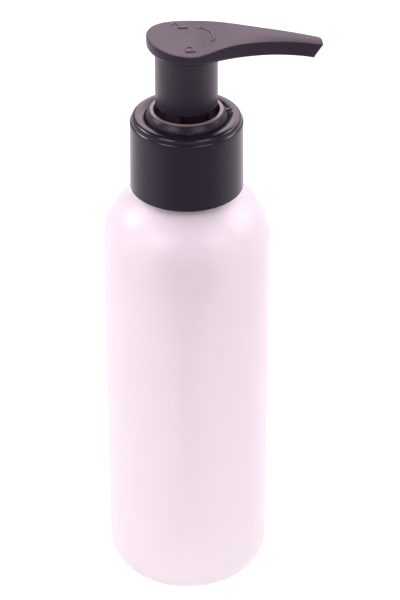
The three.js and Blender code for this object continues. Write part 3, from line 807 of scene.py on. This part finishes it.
PLAN = plan_side()


def between(x, start, end):
    """An even S curve from 0 at start to 1 at end."""
    return smooth((x - start) / (end - start))


def plan_width(x):
    """Half the head's width at x."""
    return height_on(PLAN, x)


def top_surface(x, y):
    """The height of the head's top: level across the head, crowned across the spout."""
    crown = 0.45 * between(x, 8, 20)
    share = y / max(1.0, plan_width(x))
    return height_on(TOP_LINE, x) - crown * share * share


def station(point, outward):
    """One line of the head's skin, from the middle of the top over the edge and under to the sleeve."""
    x, y = point
    spine = max(0.0, (x - 2) / (TIP - 2) * (TIP - TIP_WALL))
    inset = Vector(point) - outward * TOP_EDGE
    line = []
    for i in range(ACROSS + 1):
        t = i / ACROSS
        px, py = lerp(spine, inset.x, t), lerp(0, inset.y, t)
        line.append((px, py, top_surface(px, py)))
    top = line[-1][2]
    for degrees in (22.5, 45, 67.5, 90):
        a = math.radians(degrees)
        p = inset + outward * TOP_EDGE * math.sin(a)
        line.append((p.x, p.y, top - TOP_EDGE * (1 - math.cos(a))))
    lower = Vector((x - TIP_RAKE * between(x, 24, TIP), y))
    low = height_on(LOW_LINE, lower.x)
    round_in = lerp(1.0, 0.35, between(x, 3, 17))
    for t in (0.33, 0.66):
        p = Vector(point).lerp(lower, t)
        line.append((p.x, p.y, lerp(top - TOP_EDGE, low + round_in, t)))
    for degrees in (0, 15, 30, 45, 60, 75, 90):
        a = math.radians(degrees)
        p = lower - outward * round_in * (1 - math.cos(a))
        line.append((p.x, p.y, low + round_in * (1 - math.sin(a))))
    under = lower - outward * round_in
    goal = underside_goal(x, y)
    for i in range(1, UNDER + 1):
        t = i / UNDER
        px, py = lerp(under.x, goal[0], t), lerp(under.y, goal[1], t)
        line.append((px, py, lerp(low, height_on(LOW_LINE, px), min(1.0, 4 * t))))
    return line


def underside_goal(x, y):
    """Where a line of the underside ends, on the sleeve or on the spout's middle."""
    if x <= JUNCTION_X:
        angle = math.degrees(math.atan2(y, x))
        last = math.degrees(math.atan2(plan_width(JUNCTION_X), JUNCTION_X))
        turned = math.radians(angle - last * smooth((90 - angle) / (90 - last)))
        return JUNCTION * math.cos(turned), JUNCTION * math.sin(turned)
    share = (x - JUNCTION_X) / (TIP - JUNCTION_X)
    return lerp(JUNCTION, TIP - TIP_RAKE - TIP_WALL, share), 0.0


def sleeve_profile():
    """From under the head down the sleeve, round its lower edge, up inside it and into the stem's socket."""
    bottom = HEAD.bottom
    socket = SOCKET_BORE + 0.9
    return [
        (SLEEVE_RADIUS + 0.09, CEILING + 0.75), (SLEEVE_RADIUS, CEILING + 0.5),
        (SLEEVE_RADIUS, bottom + 0.4), (SLEEVE_RADIUS - 0.1, bottom + 0.12),
        (SLEEVE_RADIUS - 0.35, bottom), (SLEEVE_BORE + 0.15, bottom), (SLEEVE_BORE, bottom + 0.15),
        (SLEEVE_BORE, CEILING), (socket, CEILING), (socket, SOCKET_FOOT + 0.2),
        (socket - 0.2, SOCKET_FOOT), (SOCKET_BORE + 0.2, SOCKET_FOOT), (SOCKET_BORE, SOCKET_FOOT + 0.2),
        (SOCKET_BORE, CEILING), (STEM_HOLE, CEILING), (STEM_HOLE, CHANNEL_START + 0.2),
    ]


def pump_head():
    """The head, spout and sleeve in one skin, with the oil's channel cut through to the tip."""
    count = len(PLAN)
    lines = []                              # from the back round one side to the tip
    for i, point in enumerate(PLAN):
        before = PLAN[i - 1] if i else (PLAN[1][0], -PLAN[1][1])
        after = PLAN[i + 1] if i + 1 < count else (PLAN[-1][0], -PLAN[-1][1])
        along = (Vector(after) - Vector(before)).normalized()
        outward = Vector((-along.y, along.x))
        lines.append(station(point, outward))
    mirrored = [[(x, -y, z) for x, y, z in line] for line in lines]
    loop = lines + mirrored[1:][::-1]
    vertices = [v for line in loop for v in line]
    length = len(lines[0])
    faces = []
    for i in range(len(loop)):
        n = (i + 1) % len(loop)
        for j in range(length - 1):
            faces.append((i * length + j, i * length + j + 1, n * length + j + 1, n * length + j))
    ring = [lines[i][-1] for i in range(count) if PLAN[i][0] <= JUNCTION_X]
    ring += [(x, -y, z) for x, y, z in ring[1:]][::-1]
    angles = [math.atan2(y, x) for x, y, z in ring]
    start = len(vertices)
    vertices += ring
    size = len(ring)
    profile = sleeve_profile()
    for radius, height in profile:
        vertices += [(radius * math.cos(a), radius * math.sin(a), height) for a in angles]
    rows = len(profile)
    for row in range(rows):
        for i in range(size):
            n = (i + 1) % size
            a, b = start + row * size, start + (row + 1) * size
            faces.append((a + i, a + n, b + n, b + i))
    faces.append([start + rows * size + i for i in range(size)])
    mesh = make_mesh("pump_head", vertices, faces, sharp_angle=30)
    piece = make_piece("pump_head", mesh, [BLACK_HEAD, BLACK_GRAINED], "head", "black_plastic", "actuator")
    for face in mesh.polygons:
        middle = face.center / MM
        if face.normal.z > 0.9 and middle.z > top_surface(middle.x, middle.y) - 0.1:
            face.material_index = 1
    channel = cubic((0, 0, CHANNEL_START), (9, 0, 153.9), (20, 0, 153.1), (TIP + 3, 0, 147.8), 24)
    cut_away(piece, *sweep(channel, CHANNEL_RADIUS, 20))


def sleeve_lugs():
    """The two lugs inside the sleeve's foot that meet the guide's ribs."""
    for number in range(2):
        plan = sector(180 * number, 18, 5.3, SLEEVE_BORE + 0.05)
        name = f"sleeve_lug_{number + 1}"
        make_piece(name, make_mesh(name, *slab(plan, HEAD.bottom + 0.02, HEAD.bottom + 1.9, 0.08)),
                   [BLACK_HEAD], "head", "black_plastic")


def head_marks():
    """The raised marks on the head: a two-way arrow, and an open and a closed padlock."""
    height, sunk, eased = 0.11, 0.1, 0.06
    circle, half_band, half_barb = 6.4, 0.2, 0.7
    plans = [
        arc(0, 0, circle + half_band, -16, 49, 20) + arc(0, 0, circle - half_band, 49, -16, 20),
    ]
    for root, tip in ((51, 61), (-18, -28)):
        a, b = math.radians(root), math.radians(tip)
        plans.append([
            ((circle + half_barb) * math.cos(a), (circle + half_barb) * math.sin(a)),
            (circle * math.cos(b), circle * math.sin(b)),
            ((circle - half_barb) * math.cos(a), (circle - half_barb) * math.sin(a)),
        ])
    half_width, half_height = 1.2, 0.8
    hoop, hoop_bore = 1.0, 0.6
    for middle, swing in ((circle, -1.6), (-circle, 0.0)):      # the open padlock's hoop is swung aside
        low, top = middle - half_height, middle + half_height
        plans.append([(-half_width, low), (half_width, low), (half_width, top), (-half_width, top)])
        foot, bend = top + 0.02, top + 0.35
        plans.append([
            (swing + hoop, foot), *arc(swing, bend, hoop, 0, 180, 12), (swing - hoop, foot),
            (swing - hoop_bore, foot), *arc(swing, bend, hoop_bore, 180, 0, 12), (swing + hoop_bore, foot),
        ])
    for number, plan in enumerate(plans, 1):
        name = f"head_mark_{number}"
        flat, faces = slab(plan, -sunk, height, eased)
        draped = [(x, y, z + top_surface(x, y)) for x, y, z in flat]
        make_piece(name, make_mesh(name, draped, faces), [BLACK_MARK], "head", "black_plastic")


# ---- the studio ----

# angles in degrees and sizes in metres, but for the lens, which is in millimetres
VIEW_AZIMUTH = -8.5
VIEW_ELEVATION = 32.44
LENS = 148.3
CAMERA_DISTANCE = 0.6275
AIM_HEIGHT = 0.0801
AIM_RIGHT = 0.00326         # the frame's middle lies this far to the right of the axis
LIT_HEIGHT = 0.09           # the lights face the axis at this height
LIGHT_TINT = (1.0, 0.77, 0.93)
PALE_TINT = (1.0, 0.92, 0.98)
FLOOR_HALF = 3
FLOOR_GLOW = 1.1
FLOOR_FRONT = 0.36          # the floor's glow in front of the bottle
HORIZON_GLOW = 1.1
ZENITH_GLOW = 0.15

# name, azimuth from the camera's, elevation, distance, width, height and radiance
LIGHTS = [
    ("left_softbox", -110, 36, 0.9, 0.36, 0.2, 20.0),
    ("right_softbox", 110, 36, 0.9, 0.36, 0.2, 14.0),
    ("back_softbox", 160, 36, 1.2, 1.4, 0.7, 3.75),
    ("left_fill", -46, 44, 0.9, 0.4, 0.35, 8.5),
    ("right_fill", 40, 44, 0.9, 0.4, 0.35, 6.5),
    ("front_spark", 10, 14, 0.8, 0.013, 0.019, 650.0),
]


def floor():
    """A plain pale floor, lit like a light table so that it shows no shadow; it dims towards the front."""
    size = FLOOR_HALF / MM
    corners = [(-size, -size, 0), (size, -size, 0), (size, size, 0), (-size, size, 0)]
    mesh = make_mesh("floor", corners, [(0, 1, 2, 3)])
    look = Nodes("pale_floor")
    look.set(Roughness=0.9, Specular_IOR_Level=0.1, Emission_Color=(*PALE_TINT, 1))
    grain = look.noise(40.0, 3.0)
    look.feed(Base_Color=look.mix(grain, (0.20, 0.19, 0.20), (0.22, 0.21, 0.22)))
    apart = look.tree.nodes.new("ShaderNodeSeparateXYZ")
    look.link(look.place, apart.inputs["Vector"])
    look.feed(Emission_Strength=look.ramp(apart.outputs["Y"], -0.20, -0.05, FLOOR_FRONT, FLOOR_GLOW))
    mesh.materials.append(look.material)
    piece = bpy.data.objects.new("floor", mesh)
    bpy.context.scene.collection.objects.link(piece)


def direction(azimuth, elevation):
    """The unit vector at an azimuth from the front (-Y), positive towards +X, and an elevation."""
    turn, lift = math.radians(azimuth), math.radians(elevation)
    return Vector((math.sin(turn) * math.cos(lift), -math.cos(turn) * math.cos(lift), math.sin(lift)))


def aim(made, way):
    """Turns a light or a camera to look back along the way that leads to it, and puts it in the scene."""
    made.rotation_mode = "QUATERNION"
    made.rotation_quaternion = (-way).to_track_quat("-Z", "Y")
    bpy.context.scene.collection.objects.link(made)


def soft_light(name, azimuth, elevation, distance, width, height, radiance):
    """A rectangular soft light, of the same brightness per area at any size."""
    way = direction(VIEW_AZIMUTH + azimuth, elevation)
    data = bpy.data.lights.new(name, "AREA")
    data.shape = "RECTANGLE"
    data.size, data.size_y = width, height
    data.energy = radiance * math.pi * width * height
    data.color = LIGHT_TINT
    lamp = bpy.data.objects.new(name, data)
    lamp.location = Vector((0, 0, LIT_HEIGHT)) + way * distance
    lamp.visible_camera = False
    aim(lamp, way)


def camera():
    """A long lens, looking down at the bottle from its front, with the spout turned a little away."""
    back = direction(VIEW_AZIMUTH, VIEW_ELEVATION)
    right = direction(VIEW_AZIMUTH + 90, 0)
    target = Vector((0, 0, AIM_HEIGHT)) + right * AIM_RIGHT
    data = bpy.data.cameras.new("camera")
    data.lens = LENS
    data.clip_start, data.clip_end = 0.01, 20
    made = bpy.data.objects.new("camera", data)
    made.location = target + back * CAMERA_DISTANCE
    aim(made, back)
    bpy.context.scene.camera = made


def surround():
    """A pale surround, bright near the horizon and dim overhead."""
    world = bpy.data.worlds.new("surround")
    bpy.context.scene.world = world
    world.use_nodes = True
    nodes, links = world.node_tree.nodes, world.node_tree.links
    place = nodes.new("ShaderNodeTexCoord")
    apart = nodes.new("ShaderNodeSeparateXYZ")
    links.new(place.outputs["Generated"], apart.inputs["Vector"])
    glow = ramp_node(world.node_tree, apart.outputs["Z"], 0.25, 0.75, HORIZON_GLOW, ZENITH_GLOW)
    background = nodes["Background"]
    background.inputs["Color"].default_value = (*PALE_TINT, 1)
    links.new(glow, background.inputs["Strength"])


def studio():
    """Soft boxes at both sides, behind and in front, and a tiny light low in front of the bottle."""
    bpy.context.scene.view_settings.view_transform = "Standard"
    surround()
    for light in LIGHTS:
        soft_light(*light)


camera()
studio()
floor()
bottle()
closure()
collar()
collar_pointer()
neck_gasket()
pump_housing()
stem_guide()
piston_and_rod()
stem()
spring_seat()
return_spring()
inlet_ball()
dip_tube()
pump_head()
sleeve_lugs()
head_marks()
